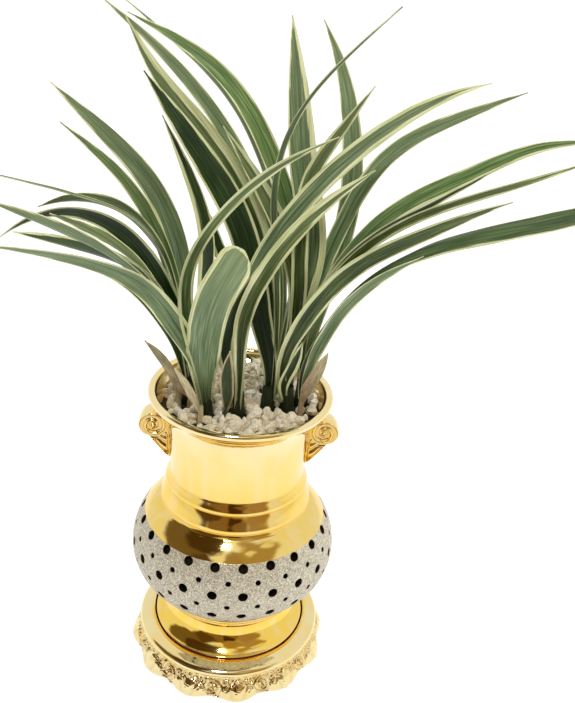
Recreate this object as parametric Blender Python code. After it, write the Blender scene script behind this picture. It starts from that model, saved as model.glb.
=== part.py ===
"""Potted cymbidium orchid: a gold ceramic pot in its saucer, filled to the lip, with seven leafy growths.

Metres, +Z up. The origin is the centre of the saucer's underside, and -Y is the front.
Sizes below are in millimetres and are turned into metres as each mesh is made.
"""

import math

import bmesh
import bpy
import numpy as np

MM = 0.001
GAP = 0.3
MERGE = 0.01

# Pot
POT_SEGMENTS = 44
LIP_TOP = 297.0
LIP_MID_RADIUS = 81.6
LIP_ROLL = 3.5
NECK_RADIUS = 64.0
BULB_WIDEST = 99.5
BULB_CORE = 40.0
BULB_MID = 127.0
BULB_RISE = 61.0
BULB_DROP = 52.4
BULB_RINGS = (181.0, 174.5, 166.5, 153.0, 142.2, 128.0, 116.8, 102.6, 92.5)
WAIST_RADIUS = 58.5
FOOT_RADIUS = 75.5
FOOT_EDGE = 36.0
WALL = 6.0
DRAIN_RADIUS = 8.0
POT_FLOOR = 66.0

# Air holes in the sanded band: height and radius of each row, every other row turned by half a pitch.
# Each hole lies inside one flat of the bulb, between two of BULB_RINGS.
VENTS_A_ROW = 22
VENT_ROWS = (
    (160.0, 4.3),
    (147.5, 2.5),
    (135.0, 4.3),
    (122.5, 2.5),
    (109.5, 4.3),
    (97.5, 2.5),
)
VENT_TURN = math.radians(-1.2)

# Scroll ears
EAR_EYE = (80.0, 257.0)
EAR_SCROLL = 14.0
EAR_FOOT = 221.0
EAR_THICK = 22.0

# Saucer
SAUCER_SEGMENTS = 60
SAUCER_LOBES = 12
LOBE_DEPTH = 3.2
LOBE_TURN = math.radians(8.0)
SAUCER_FLOOR = 8.0
SAUCER_WELL = 78.0
SAUCER_SHOULDER = 36.0

# Potting medium, with its top dressing of stones
STONE = 10.5
STONE_RELIEF = 5.0
MEDIUM_TOP = 286.0
MEDIUM_HEAP = 3.5
MEDIUM_RADIUS = 73.0
MEDIUM_RINGS = 8
HOLE_FLOOR = 276.5

# Growths and their blades
BLADE_THICK = 0.9
BLADE_FEWEST_STEPS = 5
BLADE_STEP = 52.0
BLADE_SPACING = 0.8
BASE_RADIUS = 7.5
BASE_TOP = 312.0
BASE_TAPER = 0.62
SHEATH_BASE_RADIUS = 3.4
SHEATH_BASE_TOP = 304.0
SHEATH_SPREAD = 0.5
LEAF_START = 298.0
LEAF_SPREAD = 3.5
TIP_WIDTH = 1.4
FOLD_AT_BASE = math.radians(38.0)
FOLD_AT_TIP = math.radians(8.0)

# A leaf is (width, face, twist, points). Its midrib runs from the growth's root through the points,
# in millimetres, the last being its tip. Its upper surface looks to the compass angle `face` at the
# root (0 is +X, -90 is the front) and turns by `twist` degrees on the way to the tip.
GROWTHS = {
    "growth_left": (
        (-47, -12),
        (
            (11, 10, -20, ((-59, 0, 352), (-78, 20, 417), (-105, 28, 444), (-137, 30, 456),
                           (-237, 0, 487))),
            (20, 0, 90, ((-60, -28, 360), (-78, -45, 406), (-104, -58, 437), (-139, -72, 463),
                         (-190, -92, 490))),
            (22, 0, 90, ((-65, -10, 361), (-82, -18, 401), (-111, -30, 427), (-142, -42, 442),
                         (-183, -55, 454))),
            (20, -75, -60, ((-53, -8, 346), (-71, -2, 393), (-105, 4, 437), (-145, -5, 457),
                            (-188, -15, 447), (-204, -18, 435))),
            (18, 60, -90, ((-60, -14, 358), (-81, -22, 408), (-112, -31, 442), (-157, -42, 466))),
            (16, -15, 90, ((-58, 8, 353), (-78, 28, 413), (-122, 40, 451), (-166, 36, 453),
                           (-185, 34, 446))),
            (12, -15, 20, ((-52, -18, 313), (-60, -32, 351), (-78, -52, 394), (-111, -72, 432),
                           (-134, -82, 442))),
            (20, -90, 0, ((-54, 14, 345), (-61, 40, 401), (-94, 68, 466), (-126, 78, 497),
                          (-181, 85, 543))),
            (13, -70, 0, ((-57, 10, 352), (-74, 32, 410), (-110, 48, 468), (-139, 54, 494),
                          (-168, 58, 515))),
        ),
    ),
    "growth_front": (
        (-30, -38),
        (
            (20, -60, -60, ((-37, -48, 338), (-60, -70, 398), (-78, -84, 427), (-121, -108, 455),
                            (-191, -130, 470))),
            (16, -45, 0, ((-38, -50, 339), (-49, -72, 421), (-45, -75, 445), (-11, -66, 496),
                          (21, -56, 521), (63, -45, 541))),
            (34, 90, 0, ((-33, -55, 342), (-31, -72, 383), (-25, -86, 416), (-17, -92, 439),
                         (-9, -78, 449), (-1, -40, 446))),
        ),
    ),
    "growth_centre": (
        (-2, -36),
        (
            (17, -100, 0, ((-5, -38, 335), (-3, -36, 377), (6, -29, 419), (47, -10, 485),
                           (105, 12, 536), (162, 32, 566), (194, 42, 575))),
            (15, -100, 0, ((-2, -44, 338), (-2, -48, 382), (16, -50, 435), (60, -48, 492),
                           (93, -46, 518))),
            (13, -100, 0, ((-10, -42, 332), (-15, -44, 357), (-11, -46, 386), (2, -44, 417),
                           (11, -40, 436))),
            (14, -80, 0, ((-8, -38, 320), (-23, -42, 360), (-34, -34, 401), (-36, -8, 440),
                          (-54, 8, 492), (-76, 14, 536))),
            (12, -80, 0, ((-3, -28, 320), (-8, -14, 361), (-17, 2, 401), (-29, 12, 434),
                          (-53, 22, 482))),
        ),
    ),
    "growth_inner": (
        (24, -20),
        (
            (25, -90, 0, ((25, -18, 321), (12, -10, 378), (-6, -2, 447), (-46, 4, 513),
                          (-89, 0, 572))),
            (17, -90, 0, ((34, -4, 320), (45, 6, 380), (36, 12, 425), (-1, 22, 492),
                          (-27, 26, 528))),
            (18, -90, 0, ((36, 4, 325), (44, 20, 398), (18, 50, 492), (-33, 72, 563),
                          (-73, 84, 587), (-115, 95, 604))),
            (27, -90, 0, ((36, 3, 326), (47, 14, 381), (54, 24, 430), (45, 44, 482), (37, 68, 537),
                          (26, 100, 611))),
            (12, -30, 0, ((27, -18, 356), (21, -6, 434), (17, -4, 487), (30, -8, 544),
                          (81, -14, 611), (103, -16, 633))),
        ),
    ),
    "growth_rear": (
        (27, 10),
        (
            (21, -90, 0, ((27, 14, 312), (18, 26, 402), (-2, 32, 459), (-49, 42, 525),
                          (-84, 50, 563), (-111, 60, 604))),
            (14, -90, 0, ((29, 16, 312), (23, 40, 413), (-13, 64, 495), (-44, 78, 535),
                          (-85, 92, 574), (-141, 105, 615))),
            (12, -30, 0, ((31, 18, 312), (29, 54, 413), (1, 80, 497), (-20, 90, 531),
                          (-91, 110, 592), (-127, 120, 617))),
        ),
    ),
    "growth_right": (
        (42, -20),
        (
            (18, -90, 10, ((34, -26, 326), (40, -36, 365), (59, -46, 408), (86, -54, 443),
                           (131, -62, 474), (180, -68, 500), (196, -70, 507))),
            (11, -90, 0, ((37, -26, 316), (42, -29, 333), (50, -34, 363))),
            (15, -90, 0, ((43, -8, 332), (45, -3, 399), (52, 22, 500), (65, 28, 521),
                          (97, 42, 566))),
            (16, -90, 0, ((44, -12, 329), (64, -6, 391), (115, 4, 466), (181, 12, 505),
                          (234, 18, 529), (287, 20, 538))),
            (9, -90, 0, ((41, -18, 329), (55, -24, 389), (87, -28, 441), (127, -32, 475),
                         (196, -36, 507), (269, -40, 538))),
            (9, -90, 30, ((42, -15, 330), (59, -14, 394), (100, -12, 451), (142, -12, 481),
                          (204, -10, 522))),
        ),
    ),
    "growth_outer": (
        (55, -8),
        (
            (26, -60, 90, ((54, -14, 326), (66, -25, 371), (93, -38, 420), (135, -52, 458),
                           (206, -66, 487), (275, -76, 510), (306, -80, 518))),
            (12, -90, 0, ((57, -18, 320), (65, -33, 361), (84, -52, 410), (111, -66, 443),
                          (134, -74, 461))),
            (15, -90, 0, ((53, 8, 330), (81, 42, 444), (117, 56, 505), (178, 68, 541),
                          (236, 78, 564))),
            (20, -90, 10, ((56, 5, 317), (65, 26, 363), (86, 50, 454), (83, 66, 526),
                           (66, 84, 585), (53, 92, 610))),
        ),
    ),
}

# A dry sheath is one short papery blade on a root of its own, written as a leaf is.
SHEATHS = {
    "dry_sheath_left": ((-56, -20), (9, -60, 20, ((-60, -24, 315), (-70, -29, 337), (-84, -34, 356)))),
    "dry_sheath_side": ((-45, -25), (6, -60, 0, ((-52, -30, 308), (-61, -36, 326), (-68, -40, 338)))),
    "dry_sheath_front": ((-34, -50), (7, -80, 10, ((-39, -56, 312), (-46, -64, 332), (-54, -72, 350)))),
    "dry_sheath_centre": ((-13, -44), (12, -70, 0, ((-12, -52, 316), (-13, -56, 340), (-11, -57, 362)))),
    "dry_sheath_right": ((54, -27), (11, -120, 10, ((57, -33, 314), (63, -40, 334), (71, -50, 362)))),
}

FINISHES = {
    "gold_glaze": ((0.83, 0.60, 0.17), 0.14, 1.0),
    "stones": ((0.63, 0.53, 0.41), 0.85, 0.0),
    "leaf": ((0.06, 0.13, 0.05), 0.42, 0.0),
    "dry_leaf": ((0.37, 0.26, 0.17), 0.80, 0.0),
}


def clear_scene():
    for thing in list(bpy.data.objects):
        bpy.data.objects.remove(thing, do_unlink=True)


def finish(name):
    """The Principled material of this name, made once."""
    found = bpy.data.materials.get(name)
    if found:
        return found
    colour, roughness, metallic = FINISHES[name]
    made = bpy.data.materials.new(name)
    made.use_nodes = True
    shader = made.node_tree.nodes["Principled BSDF"]
    shader.inputs["Base Color"].default_value = (*colour, 1.0)
    shader.inputs["Roughness"].default_value = roughness
    shader.inputs["Metallic"].default_value = metallic
    return made


def add_object(name, mesh, material, collection=None):
    """A new object with this mesh and finish, in the scene or in the given collection."""
    thing = bpy.data.objects.new(name, mesh)
    (collection or bpy.context.scene.collection).objects.link(thing)
    mesh.materials.clear()
    mesh.materials.append(finish(material))
    return thing


def mesh_of(shape, name):
    """A mesh in metres from a bmesh in millimetres, with its faces pointing outwards."""
    bmesh.ops.recalc_face_normals(shape, faces=shape.faces)
    bmesh.ops.scale(shape, vec=(MM, MM, MM), verts=shape.verts)
    mesh = bpy.data.meshes.new(name)
    shape.to_mesh(mesh)
    shape.free()
    return mesh


def combined(thing, operation, others):
    """Applies one Boolean of a collection of objects to a thing, and removes those objects."""
    group = bpy.data.collections.new(thing.name + "_tools")
    bpy.context.scene.collection.children.link(group)
    for other in others:
        for held_by in other.users_collection:
            held_by.objects.unlink(other)
        group.objects.link(other)
    cut = thing.modifiers.new(operation.lower(), "BOOLEAN")
    cut.operation = operation
    cut.operand_type = "COLLECTION"
    cut.collection = group
    cut.solver = "EXACT"
    bpy.context.view_layer.update()
    graph = bpy.context.evaluated_depsgraph_get()
    result = bpy.data.meshes.new_from_object(thing.evaluated_get(graph))
    thing.modifiers.clear()
    thing.data = result
    settle(result)
    for other in others:
        bpy.data.objects.remove(other, do_unlink=True)
    bpy.data.collections.remove(group)


def settle(mesh):
    """Merges points closer than MERGE, drops the slivers and flat flaps that leaves, and keeps the
    outermost shell."""
    shape = bmesh.new()
    shape.from_mesh(mesh)
    bmesh.ops.triangulate(shape, faces=shape.faces)
    bmesh.ops.dissolve_degenerate(shape, edges=shape.edges, dist=MERGE * MM)
    bmesh.ops.triangulate(shape, faces=shape.faces)
    alike = {}
    for face in shape.faces:
        alike.setdefault(frozenset(face.verts), []).append(face)
    flaps = [face for pair in alike.values() if len(pair) > 1 for face in pair]
    bmesh.ops.delete(shape, geom=flaps, context="FACES")
    left = set(shape.verts)
    shells = []
    while left:
        shell = set()
        edge = [left.pop()]
        while edge:
            vert = edge.pop()
            shell.add(vert)
            near = [link.other_vert(vert) for link in vert.link_edges]
            edge += [other for other in near if other in left]
            left.difference_update(near)
        shells.append(shell)
    shells.sort(key=len)
    for shell in shells[:-1]:
        bmesh.ops.delete(shape, geom=list(shell), context="VERTS")
    shape.to_mesh(mesh)
    shape.free()


def smooth(thing, degrees):
    """Shades a thing smooth, apart from edges sharper than this angle."""
    thing.data.shade_smooth()
    thing.data.set_sharp_from_angle(angle=math.radians(degrees))


def on_circle(radius, step):
    """A corner of the pot's polygon, turned so that a flat of it faces each column of holes."""
    turn = VENT_TURN + math.tau * (step + 0.5) / POT_SEGMENTS
    return radius * math.cos(turn), radius * math.sin(turn)


def turned(name, outline):
    """A closed ring: an outline of (radius, height) points spun once round the Z axis."""
    shape = bmesh.new()
    corners = [shape.verts.new((*on_circle(radius, 0), height)) for radius, height in outline]
    edges = [shape.edges.new((a, b)) for a, b in zip(corners, corners[1:] + corners[:1])]
    bmesh.ops.spin(
        shape,
        geom=corners + edges,
        cent=(0, 0, 0),
        axis=(0, 0, 1),
        angle=math.tau,
        steps=POT_SEGMENTS,
        use_duplicate=False,
    )
    bmesh.ops.remove_doubles(shape, verts=shape.verts, dist=0.01)
    return mesh_of(shape, name)


def arc(centre, radius, start, end, steps):
    """Points on a circle in the (radius, height) plane, from one angle to another in degrees."""
    angles = np.radians(np.linspace(start, end, steps))
    return [(centre[0] + radius * math.cos(a), centre[1] + radius * math.sin(a)) for a in angles]


def bulb_radius(height):
    """The bulb's outer radius: an ellipse round BULB_MID, taller above it than below."""
    reach = BULB_RISE if height > BULB_MID else BULB_DROP
    return BULB_CORE + (BULB_WIDEST - BULB_CORE) * math.sqrt(1.0 - ((height - BULB_MID) / reach) ** 2)


def inside_points():
    """The pot's inside, from its floor up to the edge of the medium."""
    bulb = [(bulb_radius(height) - WALL, height) for height in (105.4, 127.8, 150.5, 166.5)]
    neck = [(60.0, 186.0), (60.8, 240.0), (66.5, 279.0)]
    return [(52.5, POT_FLOOR)] + bulb + neck + [(MEDIUM_RADIUS, MEDIUM_TOP)]


def pot_outline():
    """Down the outside from the lip, under the foot and up the inside."""
    lip = arc((LIP_MID_RADIUS, LIP_TOP - LIP_ROLL), LIP_ROLL, 180, -50, 5)
    neck = [(77.5, 286.5), (71.0, 278.0), (67.5, 262.0), (65.5, 240.0), (NECK_RADIUS, 214.0)]
    collar = [(67.8, 204.0), (68.2, 196.0), (65.0, 191.0)]
    bulb = [(bulb_radius(height), height) for height in BULB_RINGS]
    rings = [(75.0, 81.0), (70.5, 79.0), (71.0, 75.0)]
    foot = [(WAIST_RADIUS + 1.0, 68.0), (WAIST_RADIUS + 0.5, 55.0), (66.0, 43.0)]
    standing = [(FOOT_RADIUS, FOOT_EDGE), (73.5, SAUCER_FLOOR + GAP), (67.0, SAUCER_FLOOR + GAP)]
    under = [(48.0, POT_FLOOR - WALL)]
    drain = [(DRAIN_RADIUS, POT_FLOOR - WALL), (DRAIN_RADIUS, POT_FLOOR)]
    outside = lip + neck + collar + bulb + rings + foot
    return outside + standing + under + drain + inside_points() + [(77.0, 291.0)]


def vent_cutters():
    """One short rod for each air hole, square to the bulb's surface."""
    rods = []
    for row, (height, radius) in enumerate(VENT_ROWS):
        slope = (bulb_radius(height + 1.0) - bulb_radius(height - 1.0)) / 2.0
        lean = math.atan(-slope)
        surface = bulb_radius(height)
        for step in range(VENTS_A_ROW):
            turn = VENT_TURN + math.tau * (step + 0.5 * (row % 2)) / VENTS_A_ROW
            level = np.array((math.cos(turn), math.sin(turn), 0.0))
            upright = np.array((0.0, 0.0, 1.0))
            outward = level * math.cos(lean) + upright * math.sin(lean)
            along = np.cross(upright, level)
            across = np.cross(outward, along)
            centre = level * surface + upright * height
            rods.append((centre, outward, along, across, radius))
    shape = bmesh.new()
    for centre, outward, along, across, radius in rods:
        sides = 6 if radius > 3.0 else 5
        rings = []
        for reach in (-WALL * 2.0, WALL):
            ring = []
            for side in range(sides):
                angle = math.tau * (side + 0.5) / sides
                spoke = along * math.cos(angle) + across * math.sin(angle)
                point = centre + outward * reach + spoke * radius
                ring.append(shape.verts.new(point))
            rings.append(ring)
        for side in range(sides):
            after = (side + 1) % sides
            shape.faces.new((rings[0][side], rings[0][after], rings[1][after], rings[1][side]))
        shape.faces.new(rings[0][::-1])
        shape.faces.new(rings[1])
    return mesh_of(shape, "vents")


def ear_mesh(side):
    """A volute disc that tapers to a tail down the neck, extruded along Y with eased rims."""
    root = [(62.0, EAR_FOOT), (62.8, 240.0), (65.0, 262.0), (70.0, 281.0)]
    volute = arc(EAR_EYE, EAR_SCROLL, 105, -55, 8)
    tail = [(79.0, 239.0), (71.5, 229.0), (65.5, EAR_FOOT)]
    outline = root + volute + tail
    half = EAR_THICK / 2.0
    eased = 2.5
    middle = np.mean(outline, axis=0)
    shape = bmesh.new()
    layers = []
    for depth, shrink in ((-half, eased), (-half + eased, 0.0), (half - eased, 0.0), (half, eased)):
        ring = []
        for x, z in outline:
            away = np.array((x, z)) - middle
            free = np.clip((x - 70.0) / 8.0, 0.0, 1.0)
            away = away * (1.0 - shrink * free / np.linalg.norm(away))
            ring.append(shape.verts.new((side * (middle[0] + away[0]), depth, middle[1] + away[1])))
        layers.append(ring)
    count = len(outline)
    for first, second in zip(layers, layers[1:]):
        for i in range(count):
            j = (i + 1) % count
            shape.faces.new((first[i], first[j], second[j], second[i]))
    shape.faces.new(layers[0][::-1])
    shape.faces.new(layers[-1])
    return mesh_of(shape, "ear")


def ear_boss(side):
    """The rolled eye of the scroll, standing proud of both faces."""
    eye_x, eye_z = EAR_EYE
    half = EAR_THICK / 2.0 + 2.5
    shape = bmesh.new()
    bmesh.ops.create_cone(shape, cap_ends=True, segments=8, radius1=6.0, radius2=6.0, depth=2.0 * half)
    for vert in shape.verts:
        x, y, z = vert.co
        vert.co = (side * eye_x + x, z, eye_z + y)
    return mesh_of(shape, "boss")


def make_pot():
    pot = add_object("pot", turned("pot", pot_outline()), "gold_glaze")
    ears = []
    for side in (-1, 1):
        ears.append(add_object("ear", ear_mesh(side), "gold_glaze"))
        ears.append(add_object("boss", ear_boss(side), "gold_glaze"))
    combined(pot, "UNION", ears)
    combined(pot, "DIFFERENCE", [add_object("vents", vent_cutters(), "gold_glaze")])
    smooth(pot, 35)


def saucer_radius(base, height, turn):
    """The saucer's radius: lobes deepest at the bottom edge, and leaf scrolls raised on its belt."""
    low = max(0.0, 1.0 - height / 30.0)
    lobes = LOBE_DEPTH * low * math.cos(SAUCER_LOBES * (turn - LOBE_TURN))
    belt = math.exp(-(((height - 17.0) / 8.0) ** 2))
    scrolls = 1.5 * belt * math.sin(SAUCER_LOBES * turn + height * 0.3)
    return base + lobes + scrolls


def make_saucer():
    """A dish: its outside is lobed by a formula, its well is round, and its underside is flat."""
    outside = [(93.5, 0.0), (96.0, 5.0), (96.5, 11.0), (93.5, 18.0), (91.0, 24.0), (91.5, 29.0)]
    shoulder = [(88.0, 33.5), (81.0, SAUCER_SHOULDER), (SAUCER_WELL, SAUCER_SHOULDER - 1.0)]
    well = [(SAUCER_WELL, SAUCER_FLOOR + 2.0), (SAUCER_WELL - 2.0, SAUCER_FLOOR)]
    shape = bmesh.new()
    rings = []
    for step in range(SAUCER_SEGMENTS):
        turn = math.tau * step / SAUCER_SEGMENTS
        radii = [(saucer_radius(r, h, turn), h) for r, h in outside] + shoulder + well
        rings.append([shape.verts.new((r * math.cos(turn), r * math.sin(turn), h)) for r, h in radii])
    for first, second in zip(rings, rings[1:] + rings[:1]):
        for i in range(len(first) - 1):
            shape.faces.new((first[i], second[i], second[i + 1], first[i + 1]))
    shape.faces.new([ring[0] for ring in rings])
    shape.faces.new([ring[-1] for ring in rings])
    saucer = add_object("saucer", mesh_of(shape, "saucer"), "gold_glaze")
    smooth(saucer, 40)


def stone_height(x, y):
    """Stones heaped on the medium: a low dome, with a bump over each point of a jittered grid."""
    best = STONE
    column, row = round(x / STONE), round(y / STONE)
    for i in range(column - 1, column + 2):
        for j in range(row - 1, row + 2):
            shift = np.random.default_rng(1000 * (i + 50) + j + 50).uniform(-0.3, 0.3, 2)
            away = math.hypot(x - STONE * (i + shift[0]), y - STONE * (j + shift[1]))
            best = min(best, away)
    bump = max(0.0, 1.0 - (best / (0.62 * STONE)) ** 2)
    dome = MEDIUM_HEAP * (1.0 - (math.hypot(x, y) / MEDIUM_RADIUS) ** 2)
    return MEDIUM_TOP + dome + STONE_RELIEF * bump


def plug(root, radius, floor, top, sides):
    """An upright round prism on a root."""
    shape = bmesh.new()
    bmesh.ops.create_cone(
        shape, cap_ends=True, segments=sides, radius1=radius, radius2=radius, depth=top - floor
    )
    bmesh.ops.translate(shape, vec=(root[0], root[1], (top + floor) / 2.0), verts=shape.verts)
    return mesh_of(shape, "plug")


def make_medium():
    """What fills the pot: a turned side, and a top raised in stones, with a plain hole for each base."""
    shape = bmesh.new()
    edge = MEDIUM_RADIUS - GAP
    rings = []
    for radius, height in inside_points():
        lift = GAP if height == POT_FLOOR else 0.0
        level = [on_circle(radius - GAP, step) for step in range(POT_SEGMENTS)]
        rings.append([shape.verts.new((x, y, height + lift)) for x, y in level])
    for radius in np.linspace(edge, edge / MEDIUM_RINGS, MEDIUM_RINGS)[1:]:
        flat = [on_circle(radius, step) for step in range(POT_SEGMENTS)]
        rings.append([shape.verts.new((x, y, stone_height(x, y))) for x, y in flat])
    for first, second in zip(rings, rings[1:]):
        for i in range(POT_SEGMENTS):
            j = (i + 1) % POT_SEGMENTS
            shape.faces.new((first[i], first[j], second[j], second[i]))
    middle = shape.verts.new((0, 0, stone_height(0.0, 0.0)))
    for i in range(POT_SEGMENTS):
        shape.faces.new((rings[-1][i], rings[-1][(i + 1) % POT_SEGMENTS], middle))
    shape.faces.new(rings[0])
    medium = add_object("potting_medium", mesh_of(shape, "potting_medium"), "stones")
    holes = []
    for root, _ in GROWTHS.values():
        holes.append(plug(root, BASE_RADIUS + GAP * 1.8, HOLE_FLOOR, LIP_TOP + 10.0, 10))
    for root, _ in SHEATHS.values():
        holes.append(plug(root, SHEATH_BASE_RADIUS + GAP * 2.5, HOLE_FLOOR, LIP_TOP + 10.0, 6))
    combined(medium, "DIFFERENCE", [add_object("hole", hole, "stones") for hole in holes])
    smooth(medium, 50)


def midrib(points, where):
    """A natural cubic spline through the points, at shares `where` of its length along straight runs
    between them: the second derivatives come from one tridiagonal solve, and each run is their cubic."""
    points = np.array(points, float)
    runs = np.linalg.norm(np.diff(points, axis=0), axis=1)
    knots = np.concatenate(([0.0], np.cumsum(runs))) / runs.sum()
    gaps = np.diff(knots)
    size = len(points)
    matrix = np.eye(size)
    bends = np.zeros((size, 3))
    slopes = np.diff(points, axis=0) / gaps[:, None]
    for i in range(1, size - 1):
        matrix[i, i - 1 : i + 2] = gaps[i - 1], 2.0 * (gaps[i - 1] + gaps[i]), gaps[i]
        bends[i] = 6.0 * (slopes[i] - slopes[i - 1])
    bends = np.linalg.solve(matrix, bends)
    run = np.clip(np.searchsorted(knots, where, side="right") - 1, 0, size - 2)
    gap = gaps[run][:, None]
    before = (knots[run + 1] - where)[:, None] / gap
    after = 1.0 - before
    curve = (before**3 - before) * bends[run] + (after**3 - after) * bends[run + 1]
    return before * points[run] + after * points[run + 1] + curve * gap**2 / 6.0


def width_share(along):
    """A blade's width along it: half at the base, full by two fifths, then drawn in to the tip."""
    rise = np.clip(along / 0.38, 0.0, 1.0)
    rise = rise * rise * (3.0 - 2.0 * rise)
    fall = np.clip((along - 0.5) / 0.5, 0.0, 1.0)
    return (0.5 + 0.5 * rise) * (1.0 - fall**2.4)


def blade_frames(path, along, face, twist):
    """Unit vectors across and off a blade at each point: the facing direction is carried along the
    path square to it, and turned evenly from nothing at the root to `twist` at the tip."""
    tangents = np.gradient(path, axis=0)
    tangents /= np.linalg.norm(tangents, axis=1)[:, None]
    facing = np.array((math.cos(math.radians(face)), math.sin(math.radians(face)), 0.0))
    off = np.empty_like(path)
    for i, tangent in enumerate(tangents):
        facing = facing - tangent * (facing @ tangent)
        facing /= np.linalg.norm(facing)
        off[i] = facing
    across = np.cross(tangents, off)
    turn = np.radians(twist) * along[:, None]
    return across * np.cos(turn) - off * np.sin(turn), off * np.cos(turn) + across * np.sin(turn)


def blade_mesh(root, leaf, spread):
    """A folded strap: six points a station, three on each face, split into triangles alike on both."""
    width, face, twist, points = leaf
    lean = np.subtract(points[0][:2], root)
    start = root + lean * min(1.0, spread / np.linalg.norm(lean))
    points = ((*start, LEAF_START), *points)
    length = np.linalg.norm(np.diff(points, axis=0), axis=1).sum()
    count = BLADE_FEWEST_STEPS + round(length / BLADE_STEP)
    along = np.linspace(0.0, 1.0, count) ** BLADE_SPACING
    path = midrib(points, along)
    across, off = blade_frames(path, along, face, twist)
    half = np.maximum(width * width_share(along), TIP_WIDTH) / 2.0
    fold = FOLD_AT_BASE + (FOLD_AT_TIP - FOLD_AT_BASE) * np.sqrt(along)
    out = across * (half * np.cos(fold))[:, None]
    up = off * (half * np.sin(fold))[:, None]
    thick = off * BLADE_THICK
    stations = np.stack((path - out + up, path, path + out + up), axis=1)
    shape = bmesh.new()
    faces = []
    for skin, shift in ((0, 0.0), (1, 1.0)):
        rows = stations - shift * thick[:, None, :]
        faces.append([[shape.verts.new(point) for point in row] for row in rows])
    for skin in faces:
        for row, after in zip(skin, skin[1:]):
            for side in (0, 1):
                shape.faces.new((row[side], row[side + 1], after[side + 1]))
                shape.faces.new((row[side], after[side + 1], after[side]))
    upper, lower = faces
    for i in range(count - 1):
        for side in (0, 2):
            shape.faces.new((upper[i][side], upper[i + 1][side], lower[i + 1][side], lower[i][side]))
    for end in (0, -1):
        for side in (0, 1):
            top = upper[end][side : side + 2]
            under = lower[end][side : side + 2]
            shape.faces.new((*top, *under[::-1]))
    return mesh_of(shape, "blade")


def base_mesh(root, radius, top):
    """The sheathed base of a growth: a round stub that narrows to its top."""
    shape = bmesh.new()
    depth = top - HOLE_FLOOR - GAP
    sides = 10 if radius > 5.0 else 6
    bmesh.ops.create_cone(
        shape, cap_ends=True, segments=sides, radius1=radius, radius2=radius * BASE_TAPER, depth=depth
    )
    bmesh.ops.translate(shape, vec=(root[0], root[1], HOLE_FLOOR + GAP + depth / 2.0), verts=shape.verts)
    return mesh_of(shape, "base")


def make_growth(name, root, leaves):
    growth = add_object(name, base_mesh(root, BASE_RADIUS, BASE_TOP), "leaf")
    blades = [blade_mesh(root, leaf, LEAF_SPREAD) for leaf in leaves]
    combined(growth, "UNION", [add_object("leaf", blade, "leaf") for blade in blades])
    smooth(growth, 40)


def make_sheath(name, root, leaf):
    sheath = add_object(name, base_mesh(root, SHEATH_BASE_RADIUS, SHEATH_BASE_TOP), "dry_leaf")
    blade = blade_mesh(root, leaf, SHEATH_SPREAD)
    combined(sheath, "UNION", [add_object("blade", blade, "dry_leaf")])
    smooth(sheath, 40)


def main():
    clear_scene()
    bpy.context.scene.unit_settings.system = "METRIC"
    make_saucer()
    make_pot()
    make_medium()
    for name, (root, leaves) in GROWTHS.items():
        make_growth(name, root, leaves)
    for name, (root, leaf) in SHEATHS.items():
        make_sheath(name, root, leaf)


main()
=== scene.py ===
"""A variegated cymbidium in a gold-lustred orchid pot, with pale pumice on the medium and a scalloped saucer.

Sizes are in millimetres and angles in degrees unless a name or comment says otherwise; `piece` turns
points into metres. +Z is up, the pot's axis is the Z axis, and the photograph looks along +Y.
Each shape is a function of two parameters, worked out as whole numpy arrays.
"""

import math
from functools import partial

import bmesh
import bpy
import numpy as np
from mathutils import Matrix


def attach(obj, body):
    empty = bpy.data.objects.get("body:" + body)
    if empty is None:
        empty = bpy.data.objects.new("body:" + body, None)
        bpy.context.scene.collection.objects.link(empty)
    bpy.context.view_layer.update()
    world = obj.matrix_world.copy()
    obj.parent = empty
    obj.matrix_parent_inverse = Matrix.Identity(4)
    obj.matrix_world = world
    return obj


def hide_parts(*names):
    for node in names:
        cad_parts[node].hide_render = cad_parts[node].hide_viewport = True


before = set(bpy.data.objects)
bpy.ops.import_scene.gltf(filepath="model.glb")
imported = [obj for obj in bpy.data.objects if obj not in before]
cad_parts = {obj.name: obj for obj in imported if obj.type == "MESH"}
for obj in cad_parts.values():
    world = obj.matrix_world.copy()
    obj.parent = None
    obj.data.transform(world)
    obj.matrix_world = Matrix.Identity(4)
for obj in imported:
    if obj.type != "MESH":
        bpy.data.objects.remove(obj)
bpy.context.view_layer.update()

MM = 0.001
SEED = 41

# Pot
LIP_TOP, LIP_MID_RADIUS, LIP_ROLL = 297.0, 81.6, 3.5
BULB_WIDEST, BULB_CORE, BULB_MID, BULB_RISE, BULB_DROP = 99.5, 40.0, 127.0, 61.0, 52.4
WALL = 5.5
VENTS_A_ROW = 22
VENT_TURN, VENT_LIP = -1.2, 0.7
VENT_ROWS = ((160.0, 4.4), (147.5, 2.5), (135.0, 4.4), (122.5, 2.5), (109.5, 4.4), (97.5, 2.5))
ROW_EDGES = (166.5, 153.4, 141.6, 128.6, 116.6, 103.2, 92.5)
CELL_ACROSS, CELL_UP = 8, 5
ROUND_STEPS = VENTS_A_ROW * CELL_ACROSS
BAND_TOP = 163.6
BAND_FOOT = 86.5

# Scroll ears
EAR_EYE = np.array((80.0, 257.0))
EAR_SCROLL, EAR_FOOT, EAR_THICK = 14.0, 221.0, 22.0

# Saucer
SAUCER_LOBES, LOBE_DEPTH, LOBE_TURN = 12, 3.2, 8.0
SAUCER_FLOOR, SAUCER_WELL = 8.0, 76.9

# Medium and stones
BARK_TOP, BARK_HEAP, BARK_RADIUS = 283.5, 4.0, 72.6
STONE_SPACING, STONE_RADIUS = 7.4, 4.6

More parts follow.
